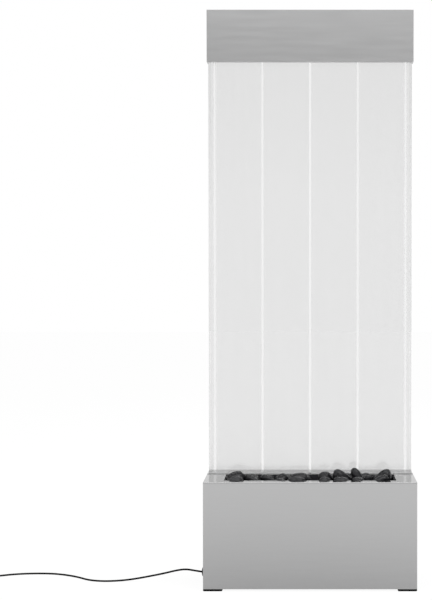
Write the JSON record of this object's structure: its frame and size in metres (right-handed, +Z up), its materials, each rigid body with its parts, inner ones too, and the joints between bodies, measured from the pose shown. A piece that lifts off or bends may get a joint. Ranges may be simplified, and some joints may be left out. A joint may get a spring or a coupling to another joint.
{
  "type": "indoor water wall fountain",
  "caption": "Free-standing indoor water wall: hollow clear panel on a brushed steel base with a pebble slot and a steel canopy.",
  "frame": {"origin": "middle of the base's footprint, on the floor, without the lead", "axes": "+Z up; the front faces -Y; the lead leaves towards -X"},
  "size_m": [0.936, 0.18, 1.1],
  "materials": {
    "brushed_steel": "satin, fine horizontal brushing",
    "polished_steel_top": "bright brushed, reflective",
    "zinc_steel": "bright zinc plating",
    "clear_acrylic": "polished clear acrylic",
    "white_acrylic": "translucent white bonded acrylic",
    "clear_tube": "clear soft tubing",
    "black_rubber": "matt black rubber",
    "black_plastic": "fine moulded texture",
    "grey_plastic": "moulded",
    "tank_plastic": "black moulded tank",
    "cord_black": "smooth black sheath",
    "magnet": "sealed ferrite magnet",
    "ceramic_shaft": "polished ceramic",
    "impeller_white": "moulded",
    "nickel_pins": "nickel plating",
    "pebble_black": "polished dark river pebble",
    "foam": "closed-cell foam block"
  },
  "bodies": {
    "base": {"base_housing": "brushed_steel", "base_front_cover": "polished_steel_top", "base_rear_cover": "polished_steel_top", "cover_seal": "black_rubber", "base_floor_plate": "zinc_steel", "floor_screws": "zinc_steel", "floor_nuts": "zinc_steel", "rubber_feet": "black_rubber", "panel_front_sheet": "clear_acrylic", "panel_back_sheet": "clear_acrylic", "panel_ribs": "white_acrylic", "panel_edge_walls": "clear_acrylic", "panel_cradle": "zinc_steel", "cradle_studs": "zinc_steel", "cradle_nuts": "zinc_steel", "trough_gasket": "black_rubber", "distribution_trough": "black_plastic", "tray_ledges": "zinc_steel", "reservoir_tank": "tank_plastic", "tank_support_blocks": "foam", "riser_nozzles": "grey_plastic", "hose_tee": "grey_plastic", "hose_right": "clear_tube", "hose_left": "clear_tube", "pump_hose": "clear_tube", "pump_body": "black_plastic", "pump_outlet_nozzle": "grey_plastic", "pump_shaft": "ceramic_shaft", "pump_suction_cups": "black_rubber", "pump_cable": "cord_black", "connector_box": "black_plastic", "connector_lid": "black_plastic", "inner_lead": "cord_black", "gland_body": "black_plastic", "gland_seal": "black_rubber", "gland_locknut": "black_plastic", "power_cord": "cord_black", "cord_coil": "cord_black", "cord_tie": "black_plastic", "cord_tail": "cord_black", "adapter_relief": "black_rubber", "adapter_body": "black_plastic", "adapter_pins": "nickel_pins"},
    "canopy": {"canopy_shell": "brushed_steel", "canopy_brackets": "zinc_steel", "canopy_pads": "black_rubber"},
    "tray": {"pebble_tray": "black_plastic", "river_pebbles": "pebble_black"},
    "impeller": {"pump_magnet": "magnet", "pump_impeller": "impeller_white"},
    "strainer": {"pump_strainer_cover": "black_plastic"},
    "dial": {"pump_flow_dial": "grey_plastic"}
  },
  "joints": [
    {"name": "canopy_lift", "type": "slide", "parent": "base", "child": "canopy", "axis": [0, 0, 1], "range_m": [0, 0.12]},
    {"name": "tray_lift", "type": "slide", "parent": "base", "child": "tray", "axis": [0, 0, 1], "range_m": [0, 0.08]},
    {"name": "impeller_spin", "type": "hinge", "parent": "base", "child": "impeller", "pos_m": [0, 0.024, 0.07], "axis": [1, 0, 0], "continuous": true},
    {"name": "strainer_pull", "type": "slide", "parent": "base", "child": "strainer", "axis": [1, 0, 0], "range_m": [0, 0.04]},
    {"name": "flow_dial_turn", "type": "hinge", "parent": "strainer", "child": "dial", "pos_m": [0.027, 0.024, 0.07], "axis": [1, 0, 0], "range_deg": [0, 90]}
  ]
}
